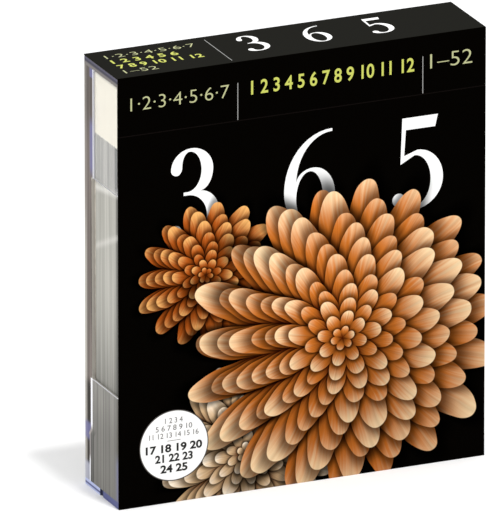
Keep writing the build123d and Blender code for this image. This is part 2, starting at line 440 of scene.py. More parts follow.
# Sizes of the case that its outline does not give, in millimetres as its source has them
HEAD_GAP = 1.0
BASE_WALL = 3.0
SIDE_WALL = 1.0
SIDE_GAP = 0.2
CORNER_ROUND = 2.0
GLUE_FILM = 0.05
LOWER_WALL_HEIGHT = 46.0
UPPER_WALL_HEIGHT = 48.0
NOTCH_WIDTH = 3.0
STEP_DEPTH = 2.0
STEP_FOOT, STEP_HEAD = 22.0, 25.5
WINDOW_TOP = CASE_HIGH.z - UPPER_WALL_HEIGHT
PLATE_FRONT = TAPE_BACK + GLUE_FILM
# How far in or out of a face its finish reaches, and how far the painted rim shade laps over the upper
# walls
HAIR, SKIN, RIND, MARGIN = 0.02, 0.05, 0.1, 0.2
RIM_LAP = 1.28

# Heights or depths between which the painted shade and sheen on the sides of the rim change, and the blur
# of a band
DARK_FOOT = (42.0, 47.0)
HEAD_SHADE = (CASE_HIGH.z - 40.0, CASE_HIGH.z - 15.0)
DARK_LINE_DEPTH = (-0.2, 1.2, 0.6)
DARK_LINE_HEIGHT = (68.0, 116.0, 10.0)
ROUNDED_EDGE = (CASE_HIGH.y - 3.3, CASE_HIGH.y - 1.4)
EDGE_FADE = (90.0, 130.0)
WINDOW_SHEEN = (WINDOW_TOP + 2.0, WINDOW_TOP + 23.0, 3.0)
HEAD_SHEEN = CASE_HIGH.z - 7.0
SHEEN_DEPTH = (0.8, 2.4)
STEP_SHEEN = (STEP_FOOT - 2.0, STEP_HEAD + 1.5, 1.2)
BASE_SHEEN = (9.0, 11.5)
PALE_SHEEN = (9.0, 13.0)


def rim_smoke(shader, deep, behind, up):
    """Painted shade and sheen on the sides of the back rim: streaked, darker near the base, a painted cool
    sheen in places, a painted highlight at the edge.
    """
    case = settings().case
    above_foot = up.step(*DARK_FOOT)
    streak = shader.noise((deep * 1.1, up * 0.006), 1.0).step(0.3, 0.7)
    dark_line = behind.around(*DARK_LINE_DEPTH) * up.around(*DARK_LINE_HEIGHT)
    shade = up.step(*HEAD_SHADE) * 0.4 | dark_line * 0.6
    colour = above_foot.mix(case.deep_smoke, case.smoke)
    colour = ((streak * 0.6 + 0.5) * (1 - shade)).dim(colour)
    # Painted highlight along the rounded edge, fading upwards
    edge = deep.step(*ROUNDED_EDGE) * (1 - up.step(*EDGE_FADE) * 0.7)
    colour = (edge * (above_foot * 0.25 + 0.75)).mix(colour, case.edge)
    beside_line = (up.around(*WINDOW_SHEEN) | (up > HEAD_SHEEN)) * (1 - behind.step(*SHEEN_DEPTH))
    at_foot = up.around(*STEP_SHEEN) | (1 - up.step(*BASE_SHEEN))
    sheen = up.step(*PALE_SHEEN).mix((case.pale_foot + case.edge) / 2, case.sheen)
    return ((beside_line | at_foot) * 0.75).mix(colour, sheen)


# Heights from the foot of the top wall, and from the base, between which the painted light on their ends
# changes
HEAD_LINE = (0.7, 1.1)
HEAD_FOOT = (-0.7, 0.2)
BASE_LAYER_HEIGHT = BASE_WALL * 0.45
BASE_LAYER = (0.2, 0.6)


def under_head(up):
    """Painted light on the ends of the top wall, with a painted lit line along their upper half, and
    painted shade on the gap below them.
    """
    case = settings().case
    from_foot = up - (GLUE_TOP + HEAD_GAP)
    ends = (from_foot.step(*HEAD_LINE) * 0.5 + 0.5).dim(case.head)
    return from_foot.step(*HEAD_FOOT).mix(case.shade, ends)


def base_ends(deep, up):
    """Painted light in the ends of the base: slate in front, pale with a slate layer behind, and painted
    shade in the notch between.
    """
    case = settings().case
    past_notch = deep - (CASE_LOW.y + CASE_HIGH.y) / 2
    layer = abs(up - BASE_LAYER_HEIGHT).step(*BASE_LAYER)
    colour = (past_notch > 0.0).mix(case.foot, layer.mix(case.foot, case.pale_foot))
    return (abs(past_notch) < NOTCH_WIDTH / 2).mix(colour, case.notch)


# Heights or depths between which the painting on the lower side walls changes: painted shade near the
# plate, towards the base and at the front end
PLATE_SHADE = (-4.4, -3.4)
STEP_FADE = (STEP_FOOT, STEP_HEAD + 1.0)
WALL_RISE = (24.0, 50.0)
FRONT_END = (CASE_LOW.y + 0.5, CASE_LOW.y + 3.5)
FRONT_SHEEN = (17.0, 24.0)


def wall_streaks(shader, deep, behind, up):
    """Leaf edges painted on the lower side walls, with painted shade near the plate, towards the base and
    at the front end, and a painted sheen there.
    """
    case = settings().case
    sheets = shader.noise((deep * 0.9, up * 0.004, 11.0), 1.0, 1.0).step(0.38, 0.62)
    near_plate = behind.step(*PLATE_SHADE) * (1 - up.step(*STEP_FADE))
    rise = up.step(*WALL_RISE) * 0.4 + 0.9
    streaks = ((sheets * 0.34 + 0.54) * rise * (1 - near_plate * 0.48)).dim(case.streak)
    front_tone = up.step(*FRONT_SHEEN).mix(case.sheen, case.deep_smoke)
    return ((1 - deep.step(*FRONT_END)) * 0.5).mix(streaks, front_tone)


# Depths of the lit lines behind the plate's front, where they fade, and heights of the lit faces
UPPER_LINE = (-2.1, -1.3)
LOWER_LINE = (-0.4, 1.2)
FOOT_LINE = (-0.4, 0.4)
LINE_FADE = (13.0, STEP_HEAD + 0.5, 1.5)
LEDGE = (LOWER_WALL_HEIGHT - RIND, LOWER_WALL_HEIGHT + RIND)
UPPER_WALL_FOOT = (WINDOW_TOP - HAIR, WINDOW_TOP + HAIR)


def gathered_light(shader, across, deep, up):
    """Light that gathers in the sides of the case: its colour, and how much of it shows over the clear."""
    case = settings().case
    behind = deep - PLATE_FRONT - (1 - up.step(STEP_FOOT, STEP_HEAD)) * STEP_DEPTH
    above, below = up > WINDOW_TOP, up < LOWER_WALL_HEIGHT + MARGIN
    in_base = up < BASE_WALL - SKIN
    before_plate = behind < 0.0
    ledge = up.between(*LEDGE) * before_plate
    plate_face = behind.between(-CORNER_ROUND, HAIR) * up.between(LOWER_WALL_HEIGHT, WINDOW_TOP)
    lines = (
        behind.between(*UPPER_LINE) * above
        | behind.between(*LOWER_LINE) * below * (up > STEP_FOOT)
        | behind.between(*FOOT_LINE) * (up < STEP_FOOT)
        | ledge * (abs(across) > CASE_HIGH.x - SIDE_WALL / 2)
        | up.between(*UPPER_WALL_FOOT) * before_plate
    )
    zones = (
        # Painted leaf edges, painted shade and painted sheen on the lower side walls
        (below * (behind < LOWER_LINE[0]) * 0.9, wall_streaks(shader, deep, behind, up)),
        # Painted shade and sheen on the sides of the back rim
        (behind > above * -RIM_LAP - HAIR, rim_smoke(shader, deep, behind, up)),
        # Painted light on the window's corner fillets and the tops of the lower walls
        (plate_face | ledge, case.edge),
        (lines, (up.around(*LINE_FADE) * 0.85).mix(case.line, case.smoke)),
        # Painted light and painted shade at the ends of the top wall
        (up > STUB_HIGH.z + MARGIN, under_head(up)),
        # Painted light and painted shade in the ends of the base
        (in_base, base_ends(deep, up)),
    )
    colour, shown = case.line, 0.0
    for weight, tone in zones:
        colour = (weight > 0.0).mix(colour, tone)
        shown = weight | shown
    at_side = abs(across) > CASE_HIGH.x - SIDE_WALL - SIDE_GAP - MARGIN
    base_rim = (1 - deep.between(CASE_LOW.y + RIND, CASE_HIGH.y - RIND)) | (up < SKIN)
    return colour, shown * (at_side | base_rim * in_base) * case.gathered


def clear_plastic():
    """Clear moulded polystyrene. Light gathers in the edges of its sides, and lamps shine through it."""
    case = settings().case
    shader = Shader("clear_polystyrene")
    across, deep, up = shader.millimetres()
    scuffs = shader.noise((across, deep, up), 0.09, 4.0).step(0.5, 0.75)
    clear = shader.principled(
        base_color=scuffs.mix((1, 1, 1), (0.97, 0.97, 0.98)),
        roughness=scuffs * case.scuffing + case.roughness,
        ior=1.2,
        transmission_weight=1.0,
    )
    colour, shown = gathered_light(shader, across, deep, up)
    gathered = shader.principled(base_color=colour, roughness=0.4, specular_ior_level=0.04)
    surface = shader.add("MixShader", None, {0: shown, 1: clear, 2: gathered})
    lamp = shader.add("LightPath", output="Is Shadow Ray")
    unseen = shader.add("BsdfTransparent")
    surface = shader.add("MixShader", None, {0: lamp, 1: surface, 2: unseen})
    tint = {"Color": (*case.tint, 1), "Density": case.tint_density}
    return shader.finish(surface, Volume=shader.add("VolumeAbsorption", None, tint))


def edge_streaks(shader, deep, up):
    """Fine upright streaks from the cut edges of many leaves, from 0 to 1."""
    broad = shader.noise((deep * 0.55, up * 0.004), 1.0, 1.0)
    fine = shader.noise((deep * 2.6, up * 0.012, 3.0), 1.0)
    sheet = shader.noise((deep * 9.0, up * 0.03, 7.0), 1.0, 1.0)
    return (broad * 0.4 + fine * 0.35 + sheet * 0.25).step(0.32, 0.68)


# Heights and depths between which painted shade on the cut edges lifts, and where they are bare by the tear
# line
EDGE_RISE = (8.0, 95.0)
FRONT_SHADE = (BOUND_LOW.y + 2.4, BOUND_LOW.y + 6.0)
BARE_HEAD = (STUB_LOW.z + 0.2, STUB_LOW.z + 0.9)
# Light that the upper wall throws on the leaf edges: drop and slope of each band, and its strength
THROWN = ((0.0, 0.15, 0.5), (17.1, 0.46, 0.3))
THROWN_BAND = (-1.0, 1.2, 1.4)


def leaf_edges(name, picture=None):
    """Cut edges of printed leaves, bare at the tear line, with painted shade low down, behind the walls and
    at the front, and painted light thrown by the wall's edge.

    The foremost leaf may show its picture.
    """
    paper = settings().paper
    shader = Shader(name)
    across, deep, up = shader.millimetres()
    streak = edge_streaks(shader, deep, up)
    below, above = up < LOWER_WALL_HEIGHT, up > WINDOW_TOP
    # Painted shade: darker towards the base, behind the side walls and under the card's front edge
    rise = up.step(*EDGE_RISE)
    dark = ((rise * 0.4 + 0.6) * (1 - (below | above) * 0.35)).dim(paper.edge_dark)
    colour = streak.mix(dark, paper.edge_light)
    colour = ((rise * 0.69 + 0.31) * (1 - below * 0.25)).dim(colour)
    colour = (deep.step(*FRONT_SHADE) * 0.7 + 0.3).dim(colour)
    for drop, slope, strength in THROWN:
        place = up - WINDOW_TOP + drop + (deep - BOUND_LOW.y) * slope
        colour = (place.around(*THROWN_BAND) * strength).mix(colour, paper.leaf)
    fringe = shader.noise((deep * 1.1, 0.0), 1.0)
    colour = (up + fringe * 2.2).step(*BARE_HEAD).mix(colour, paper.stub)
    if picture:
        foremost = deep < BOUND_LOW.y + HAIR / 2
        colour = foremost.mix(colour, paint_leaf(shader, across, up, picture))
    return shader.surface(colour, 0.75, normal=shader.bump(streak, 0.05 * MM))


# Heights between which painted shade darkens the stubs under the top wall, and lifts from the board's edges
STUB_SHADE = (STUB_HIGH.z - 1.8, STUB_HIGH.z + 0.2)
BOARD_RISE = (30.0, 120.0)


def bound_paper():
    """Cut edges of the unprinted heads of the leaves, with painted shade under the top wall."""
    shader = Shader("bound_stubs")
    _, deep, up = shader.millimetres()
    streak = edge_streaks(shader, deep, up)
    colour = (streak * 0.3).mix(settings().paper.stub, display(226, 217, 202))
    # Painted shade under the top wall
    colour = (1 - up.step(*STUB_SHADE) * 0.6).dim(colour)
    return shader.surface(colour, 0.8, normal=shader.bump(streak, 0.03 * MM))


def chipboard():
    """Grey backing board with flecks of fibre, and painted shade on its cut edges towards the base."""
    shader = Shader("chipboard")
    across, _, up = place = shader.millimetres()
    cloud = shader.noise(place, 0.26, 6.0)
    fleck = shader.noise(place, 2.2).step(0.62, 0.72)
    colour = cloud.step(0.3, 0.7).mix(settings().paper.board, display(168, 160, 148))
    colour = (fleck * 0.5).mix(colour, display(102, 94, 84))
    cut_edge = abs(across) > BOARD_SIDE - SKIN
    # Painted shade on the cut edges, darker towards the base
    colour = (1 - (1 - up.step(*BOARD_RISE)) * cut_edge * 0.6).dim(colour)
    return shader.surface(colour, 0.9, normal=shader.bump(cloud, 0.06 * MM))


def padding_glue():
    """Brushed film of dried glue."""
    shader = Shader("padding_glue")
    brushed = shader.add("Mapping", None, {"Vector": shader.object_place(), "Scale": (0.12, 1, 1)})
    marks = shader.noise(brushed, 900.0, 3.0)
    colour = marks.mix(settings().paper.glue, display(244, 240, 230))
    relief = shader.bump(marks, 0.08 * MM)
    return shader.surface(colour, marks * 0.25 + 0.3, normal=relief)


def mounting_tape():
    """Double-sided tape with the small bubbles of a hand-laid strip."""
    shader = Shader("mounting_tape")
    bubbles = shader.noise(shader.object_place(), 420.0, 3.0).step(0.56, 0.66)
    colour = bubbles.mix(settings().paper.tape, display(232, 227, 214))
    return shader.surface(colour, 0.45 - bubbles * 0.15)


def paint_cover(shader, across, up, ground):
    """The cover's blooms over a ground colour."""
    for bloom in COVER_BLOOMS:
        ground = paint_bloom(shader, across, up, bloom, ground)
    return ground


# How deep in the card its print still shows, and how far from the score its ink is worn and carries a
# painted highlight
PRINT_DEPTH = 0.45
CREASE_WEAR_AND_HIGHLIGHT = (0.05, 0.3)


def printed_card():
    """Printed card: picture in front, black on top painted lighter for the light from above, bare board
    behind.
    """
    ink = settings().ink
    shader = Shader("printed_card")
    across, deep, up = place = shader.millimetres()
    crease = 1 - abs(up - CARD_HIGH.z * PER_MM).step(*CREASE_WEAR_AND_HIGHLIGHT)
    picture = crease.mix(paint_cover(shader, across, up, ink.black), ink.crease)
    in_front = deep < CARD_LOW.y * PER_MM + PRINT_DEPTH
    on_top = up > HEADER_HIGH.z * PER_MM - PRINT_DEPTH
    weave = shader.noise(place, 7.0, 4.0)
    cut_edge = abs(across) > CARD_HIGH.x * PER_MM - SKIN
    core = ((weave * 0.3 + 0.82) * (1 - cut_edge * 0.6)).dim(ink.core)
    return shader.surface(
        base_color=in_front.mix(on_top.mix(core, ink.charcoal), picture),
        roughness=0.85 - (on_top | in_front) * 0.3 + weave * 0.06,
        specular_ior_level=0.0,
        normal=shader.bump(weave, 0.015 * MM),
    )


def title_ink():
    """White ink of the large figures in front, with the picture's petals over it."""
    shader = Shader("title_ink")
    across, _, up = shader.millimetres()
    picture = paint_cover(shader, across, up, settings().ink.white)
    mottle = shader.noise((across, up), 1.5, 3.0)
    return shader.surface(picture, mottle * 0.1 + 0.5, specular_ior_level=0.0)


def flat_ink(name, colour):
    """A film of plain ink with the slight unevenness of print."""
    shader = Shader(name)
    mottle = shader.noise(shader.object_place(), 1500.0, 3.0)
    tone = (mottle * 0.12 + 0.94).dim(colour)
    return shader.surface(tone, mottle * 0.1 + 0.5, specular_ior_level=0.2)


# How far inside the seal's rim its dark line starts and is full
SEAL_LINE_START = 0.5
SEAL_LINE_FULL = 0.3


def seal_paper():
    """White label paper with a dark line round its rim."""
    shader = Shader("seal_paper")
    across, _, up = shader.millimetres()
    centre = (SEAL_LOW + SEAL_HIGH) / 2 * PER_MM
    rim = (SEAL_HIGH.x - SEAL_LOW.x) / 2 * PER_MM
    x, y = across - centre.x, up - centre.z
    line = ((x * x + y * y) ** 0.5).step(rim - SEAL_LINE_START, rim - SEAL_LINE_FULL)
    fibre = shader.noise((across, up), 3.0, 4.0)
    white = (fibre * 0.06 + 0.97).dim((0.9, 0.9, 0.89))
    colour = line.mix(white, display(52, 46, 42))
    return shader.surface(colour, fibre * 0.1 + 0.3, specular_ior_level=0.3)


class LeafPicture(NamedTuple):
    """A day leaf's picture: the ground's lower and upper colours, and its bloom."""

    low: tuple
    high: tuple
    bloom: Bloom


ROSE = (display(120, 24, 52), display(222, 110, 140), display(252, 222, 226))
VIOLET = (display(52, 28, 96), display(140, 104, 190), display(228, 214, 244))
LEMON = (display(176, 110, 10), display(244, 200, 60), display(254, 244, 190))
CORAL = (display(140, 34, 20), display(240, 116, 84), display(254, 214, 190))
SNOW = (display(150, 160, 130), display(226, 228, 214), display(252, 252, 246))
WINE = (display(50, 8, 20), display(140, 30, 56), display(226, 130, 140))
# Each day leaf's lower and upper ground, in display values, and its bloom
LEAF_ROWS = (
    ((40, 66, 44), (120, 150, 112), (-12, 92, 44, 8, 15, 0.2, *ROSE)),
    ((196, 206, 196), (232, 236, 228), (14, 96, 42, 7, 13, 0.6, *VIOLET)),
    ((30, 60, 92), (118, 160, 196), (-6, 88, 46, 8, 17, 0.1, *LEMON)),
    ((214, 204, 188), (240, 234, 224), (10, 90, 45, 8, 14, 0.4, *CORAL)),
    ((28, 46, 40), (74, 104, 92), (-16, 94, 41, 7, 16, 0.8, *SNOW)),
    ((222, 212, 206), (244, 238, 232), (8, 92, 44, 8, 15, 0.5, *WINE)),
    ((62, 48, 84), (150, 132, 176), (-4, 91, 45, 8, 16, 0.3, *LEMON)),
)
LEAF_PICTURES = [LeafPicture(display(*low), display(*high), Bloom(*made)) for low, high, made in LEAF_ROWS]
# Edges of a day leaf's picture, in millimetres to each side and up
PICTURE_SIDE = 69.0
PICTURE_FOOT, PICTURE_TOP = 40.0, 142.0


def paint_leaf(shader, across, up, picture):
    """The front of a day leaf: a picture above a bare strip for the day's figure."""
    ground = up.step(PICTURE_FOOT, PICTURE_TOP).mix(picture.low, picture.high)
    ground = paint_bloom(shader, across, up, picture.bloom, ground)
    inside = (abs(across) < PICTURE_SIDE) * up.between(PICTURE_FOOT, PICTURE_TOP)
    fibre = shader.noise((across, up), 2.0, 4.0)
    return inside.mix((fibre * 0.08 + 0.96).dim(settings().paper.leaf), ground)


def leaf_front(number):
    """Coated paper with a day leaf's picture, on a sheet with rows for bending."""
    shader = Shader(f"leaf_{number}_front")
    across, up = shader.sheet_millimetres()
    colour = paint_leaf(shader, across, up, LEAF_PICTURES[number - 1])
    fibre = shader.noise((across, up), 4.0, 3.0)
    return shader.surface(colour, fibre * 0.12 + 0.42, specular_ior_level=0.3)


def leaf_back():
    """Bare back of a day leaf, and its cut edges."""
    paper = settings().paper
    shader = Shader("leaf_back")
    across, up = shader.sheet_millimetres()
    fibre = shader.noise((across, up), 2.5, 5.0)
    cut_edge = abs(across) > BOUND_HIGH.x - RIND
    colour = (cut_edge * 0.8).mix((fibre * 0.1 + 0.94).dim(paper.leaf), paper.edge_dark)
    return shader.surface(colour, fibre * 0.1 + 0.6)


def dress(node, material):
    """Gives a solid of the frame its finish."""
    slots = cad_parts[node].data.materials
    slots.clear()
    slots.append(material)


def in_scene(name, data):
    """A new object that is in the scene."""
    made = bpy.data.objects.new(name, data)
    bpy.context.scene.collection.objects.link(made)
    return made


def add_piece(name, mesh, slot, *materials):
    """A finished mesh, in place, as a new piece."""
    mesh.name = name
    piece = in_scene(name, mesh)
    for material in materials:
        mesh.materials.append(material)
    return piece


def finished_mesh(made, name):
    """A bmesh as a mesh, its faces pointing outwards."""
    bmesh.ops.recalc_face_normals(made, faces=made.faces)
    mesh = bpy.data.meshes.new(name)
    made.to_mesh(mesh)
    made.free()
    return mesh


def mesh_of_curve(curve):
    """A curve or text as a mesh, with the curve removed."""
    holder = in_scene(curve.name, curve)
    evaluated = holder.evaluated_get(bpy.context.evaluated_depsgraph_get())
    mesh = bpy.data.meshes.new_from_object(evaluated)
    bpy.data.objects.remove(holder)
    bpy.data.curves.remove(curve)
    return mesh


def joined_mesh(name, meshes):
    """Several meshes as one, each of them closed."""
    whole = bmesh.new()
    for mesh in meshes:
        whole.from_mesh(mesh)
        bpy.data.meshes.remove(mesh)
    bmesh.ops.remove_doubles(whole, verts=whole.verts, dist=0.001 * MM)
    return finished_mesh(whole, name)


# Outlines of the large figures, a hundred units tall, with the way that the outline leaves each point
LARGE_FIGURES = {
    "3": [[
        (3, 79, "up"), (26, 101, "across"), (50, 77.5, "up"), (35, 54, "across"), (57, 28, "up"),
        (24, -1, "across"), (1, 12, "up"), (8, 19, "across"), (15, 11.5, "up"), (25, 3, "across"),
        (43, 27, "up"), (22, 50.5, "line"), (17, 50.5, "line"), (17, 54, "line"), (21, 54, "across"),
        (37, 77, "up"), (24, 97.5, "across"), (15.5, 82, "up"), (9.5, 73, "across"),
    ]],
    "6": [[
        (57, 101, "across"), (3, 37, "up"), (31, -1, "across"), (60, 31, "up"), (36, 61, "across"),
        (16.5, 45, "up"), (57, 98, "line"),
    ], [
        (32, 57.5, "across"), (16.5, 28, "up"), (32, 2.5, "across"), (46.5, 29, "up"),
    ]],
    "5": [[
        (12, 100, "line"), (52, 100, "line"), (49, 87, "line"), (16, 87, "line"), (14.2, 59, "line"),
        (29, 64, "across"), (58, 32, "up"), (24, -1, "across"), (1, 12, "up"), (8, 19, "across"),
        (15, 11.5, "up"), (25, 3, "across"), (44, 31, "up"), (26, 58.5, "line"), (10, 50, "line"),
    ]],
}
FIGURE_UNITS = 100
# Handles of a straight stretch, and of a quarter ellipse that starts across or up
ROUND_HANDLE = 0.5523
HANDLES = {"line": (0, 0), "across": (ROUND_HANDLE, 0), "up": (0, ROUND_HANDLE)}


def large_figure(figure, height, film):
    """One large figure as a thin film of ink, its foot on the baseline."""
    curve = bpy.data.curves.new("large_" + figure, "CURVE")
    curve.dimensions = "2D"
    curve.fill_mode = "BOTH"
    curve.extrude = film / 2
    scale = height / FIGURE_UNITS
    for outline in LARGE_FIGURES[figure]:
        spline = curve.splines.new("BEZIER")
        spline.bezier_points.add(len(outline) - 1)
        spline.use_cyclic_u = True
        points = spline.bezier_points
        for point in points:
            point.handle_left_type = point.handle_right_type = "FREE"
        for n, (x, y, way) in enumerate(outline):
            after = (n + 1) % len(outline)
            start, end = Vector((x, y, 0)) * scale, Vector((*outline[after][:2], 0)) * scale
            run = end - start
            along, rise = HANDLES[way]
            points[n].co = start
            points[n].handle_right = start + Vector((run.x * along, run.y * rise, 0))
            points[after].handle_left = end - Vector((run.x * rise, run.y * along, 0))
    return mesh_of_curve(curve)


# Height of the plain font's figures at size one, and how much each weight swells their strokes
DIGIT_HEIGHT = 0.682
FINE, PLAIN, BOLD, HEAVY = -0.01, 0.0, 0.018, 0.034


def figures(text, height, width, film, weight=PLAIN):
    """A row of plain figures as a thin film of ink, its left foot at the origin."""
    curve = bpy.data.curves.new("figures", "FONT")
    curve.body = text
    curve.offset = weight
    curve.extrude = film / 2
    mesh = mesh_of_curve(curve)
    left = min(v.co.x for v in mesh.vertices)
    right = max(v.co.x for v in mesh.vertices)
    fit = Matrix.Diagonal((width / (right - left), height / DIGIT_HEIGHT, 1, 1))
    mesh.transform(fit @ Matrix.Translation((-left, 0, 0)))
    return mesh


def rule(width, height, film):
    """A thin printed rule, its lower left corner at the origin."""
    made = bmesh.new()
    place = Matrix.Translation((width / 2, height / 2, 0)) @ Matrix.Diagonal((width, height, film, 1))
    bmesh.ops.create_cube(made, size=1.0, matrix=place)
    return finished_mesh(made, "rule")


UPRIGHT = Matrix.Rotation(math.pi / 2, 4, "X")


def on_front(mesh, x, depth, z):
    """Stands a flat mesh up on a front face, in millimetres across and up it."""
    mesh.transform(Matrix.Translation((x * MM, depth, z * MM)) @ UPRIGHT)
    return mesh


def on_top(mesh, x, behind_edge, height):
    """Lays a flat mesh on the top panel, in millimetres across and behind its front edge."""
    mesh.transform(Matrix.Translation((x * MM, HEADER_LOW.y + behind_edge * MM, height)))
    return mesh


# The UV map of a sheet's flat place, and how many rows of vertices it bends at
FLAT_PLACE = "flat_mm"
BEND_ROWS = 14


def leaf_sheet(low, high):
    """A day leaf with a toothed head, thin enough to leave room for print, with its flat place as UV."""
    paper, film = settings().paper, settings().ink.film
    width, length = high.x - low.x, high.z - low.z
    made = bmesh.new()
    columns = 2 * round(width / paper.tooth_pitch)
    bmesh.ops.create_grid(made, x_segments=columns, y_segments=1, size=0.5)
    place = Matrix.Translation((0, low.y + film, low.z + length / 2)) @ UPRIGHT
    bmesh.ops.transform(made, matrix=place @ Matrix.Diagonal((width, length, 1, 1)), verts=made.verts)
    for row in range(BEND_ROWS):
        cut = high.z - paper.bend * (row + 0.5) / BEND_ROWS
        whole = [*made.verts, *made.edges, *made.faces]
        bmesh.ops.bisect_plane(made, geom=whole, plane_co=(0, 0, cut), plane_no=(0, 0, 1))
    head = sorted((v for v in made.verts if v.co.z > high.z - paper.tooth), key=lambda v: v.co.x)
    bmesh.ops.translate(made, vec=(0, 0, -paper.tooth), verts=head[::2])
    flat = made.loops.layers.uv.new(FLAT_PLACE)
    bmesh.ops.solidify(made, geom=made.faces, thickness=high.y - low.y - film)
    front = min(v.co.y for v in made.verts)
    bmesh.ops.translate(made, vec=(0, low.y + film - front, 0), verts=made.verts)
    bmesh.ops.recalc_face_normals(made, faces=made.faces)
    for face in made.faces:
        face.material_index = 0 if face.normal.y < -0.5 else 1
        for loop in face.loops:
            loop[flat].uv = (loop.vert.co.x * PER_MM, loop.vert.co.z * PER_MM)
    return finished_mesh(made, "leaf_sheet")


class CALENDAR_OT_clear_case(Operator):
    """Gives the case and its folding leg their clear plastic"""

    bl_idname = "calendar.clear_case"
    bl_label = "Clear Case"

    def execute(self, context):
        plastic = clear_plastic()
        for node in ("easel_case", "easel_leg"):
            dress(node, plastic)
        return {"FINISHED"}


class CALENDAR_OT_bound_pad(Operator):
    """Finishes the bound leaves, their stubs, glue, board and tape"""

    bl_idname = "calendar.bound_pad"
    bl_label = "Bound Pad"

    def execute(self, context):
        edges = leaf_edges("leaf_edges")
        for node in MONTHS:
            dress(node, edges)
        dress("leaves_january", leaf_edges("first_bound_leaf", LEAF_PICTURES[-1]))
        dress("stub_block", bound_paper())
        dress("padding_glue", padding_glue())
        dress("backing_board", chipboard())
        dress("pad_tape", mounting_tape())
        return {"FINISHED"}


# The figure on a day leaf, a slim one on the first, and its left end and foot in millimetres
DAY_HEIGHT = 22 * MM
DAY_WIDTH = 13 * MM
SLIM_WIDTH = 3 * MM
DAY_LEFT, DAY_FOOT = 48, 10


class CALENDAR_OT_day_leaves(Operator):
    """Makes the leaves that lift as sheets with rows for bending below the tear line, each with its day's
    figure
    """

    bl_idname = "calendar.day_leaves"
    bl_label = "Day Leaves"

    def execute(self, context):
        paper, ink = settings().paper, settings().ink
        back, black = leaf_back(), flat_ink("day_ink", ink.dark)
        for number, node in enumerate(LIFTING, 1):
            low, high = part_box(node)
            mesh = leaf_sheet(low, high)
            sheet = add_piece(f"day_sheet_{number}", mesh, "printed_leaf", leaf_front(number), back)
            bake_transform(sheet)
            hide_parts(node)
            width = DAY_WIDTH if number > 1 else SLIM_WIDTH
            day = figures(str(number), DAY_HEIGHT, width, ink.film)
            mesh = joined_mesh("day", [on_front(day, DAY_LEFT, low.y + ink.film / 2, DAY_FOOT)])
            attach(add_piece(f"day_figure_{number}", mesh, "printed_leaf", black), node)
        return {"FINISHED"}


class CALENDAR_OT_cover_card(Operator):
    """Prints the cover card's panels and the label paper of its seal"""

    bl_idname = "calendar.cover_card"
    bl_label = "Cover Card"

    def execute(self, context):
        card = printed_card()
        for node in ("front_cover", "cover_header"):
            dress(node, card)
        dress("cover_seal", seal_paper())
        return {"FINISHED"}


# Large figures with their left ends, and their feet above the base or behind the top's front edge
TITLE = (("3", -57), ("6", -9), ("5", 38))
TITLE_FOOT = 107
TOP_TITLE = (("3", -18), ("6", 8), ("5", 35))
TOP_FOOT = 9.7
TOP_HEIGHT = 18 * MM


class CALENDAR_OT_large_figures(Operator):
    """Sets the large white figures on the front and the top of the card"""

    bl_idname = "calendar.large_figures"
    bl_label = "Large Figures"

    def execute(self, context):
        ink = settings().ink
        film, tall = ink.film, ink.title_height
        depth, level = CARD_LOW.y - film / 2, HEADER_HIGH.z + film / 2
        front = [on_front(large_figure(name, tall, film), x, depth, TITLE_FOOT) for name, x in TITLE]
        piece = add_piece("title_figures", joined_mesh("title", front), "printed_card", title_ink())
        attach(piece, "cover")
        top = [on_top(large_figure(name, TOP_HEIGHT, film), x, TOP_FOOT, level) for name, x in TOP_TITLE]
        white = flat_ink("white_ink", ink.white)
        piece = add_piece("top_title_figures", joined_mesh("top_title", top), "printed_card", white)
        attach(piece, "stand")
        return {"FINISHED"}


def print_film(text, height, width, weight):
    """A row of figures, or a rule where there is no text, its sizes in millimetres."""
    ink = settings().ink
    if text:
        return figures(text, height * MM, width * MM, ink.film, weight)
    return rule(width * MM if width else ink.rule_width, height * MM, ink.film)


DAYS = "1·2·3·4·5·6·7"
HALF_YEAR = "1 2 3 4 5 6"
REST_OF_YEAR = "7 8 9 10 11 12"
YEAR = f"{HALF_YEAR} {REST_OF_YEAR}"
WEEKS = "1–52"
# Each print's weight and its rows in front and on top: text, height, width, left end and foot
HEADER_PRINT = {
    "fine": (
        FINE,
        ((DAYS, 5.4, 41.8, -73.0, 164), (WEEKS, 6.0, 18, 54.4, 164)),
        ((DAYS, 3.8, 38, -72.5, 24), (WEEKS, 3.8, 14, -72.5, 5.2)),
    ),
    "bold": (
        BOLD,
        ((YEAR, 5.4, 69.5, -21.9, 164),),
        ((HALF_YEAR, 3.8, 28, -72.5, 17.8), (REST_OF_YEAR, 3.8, 36, -72.5, 11.5)),
    ),
    "rule": (
        PLAIN,
        (("", 15.2, None, -27.7, 154.3), ("", 15.2, None, 51.1, 154.3)),
        (("", 27, None, -28.9, 2.8),),
    ),
}


class CALENDAR_OT_small_figures(Operator):
    """Sets the rows of small figures and thin rules on the header and the top"""

    bl_idname = "calendar.small_figures"
    bl_label = "Small Figures"

    def execute(self, context):
        ink = settings().ink
        depth, level = HEADER_LOW.y - ink.film / 2, HEADER_HIGH.z + ink.film / 2
        for name, (weight, front, top) in HEADER_PRINT.items():
            meshes = [on_front(print_film(*row, weight), left, depth, foot) for *row, left, foot in front]
            meshes += [on_top(print_film(*row, weight), left, foot, level) for *row, left, foot in top]
            finish = flat_ink(f"{name}_ink", getattr(ink, name))
            piece = add_piece(f"card_{name}_print", joined_mesh(name, meshes), "printed_card", finish)
            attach(piece, "stand")
        return {"FINISHED"}


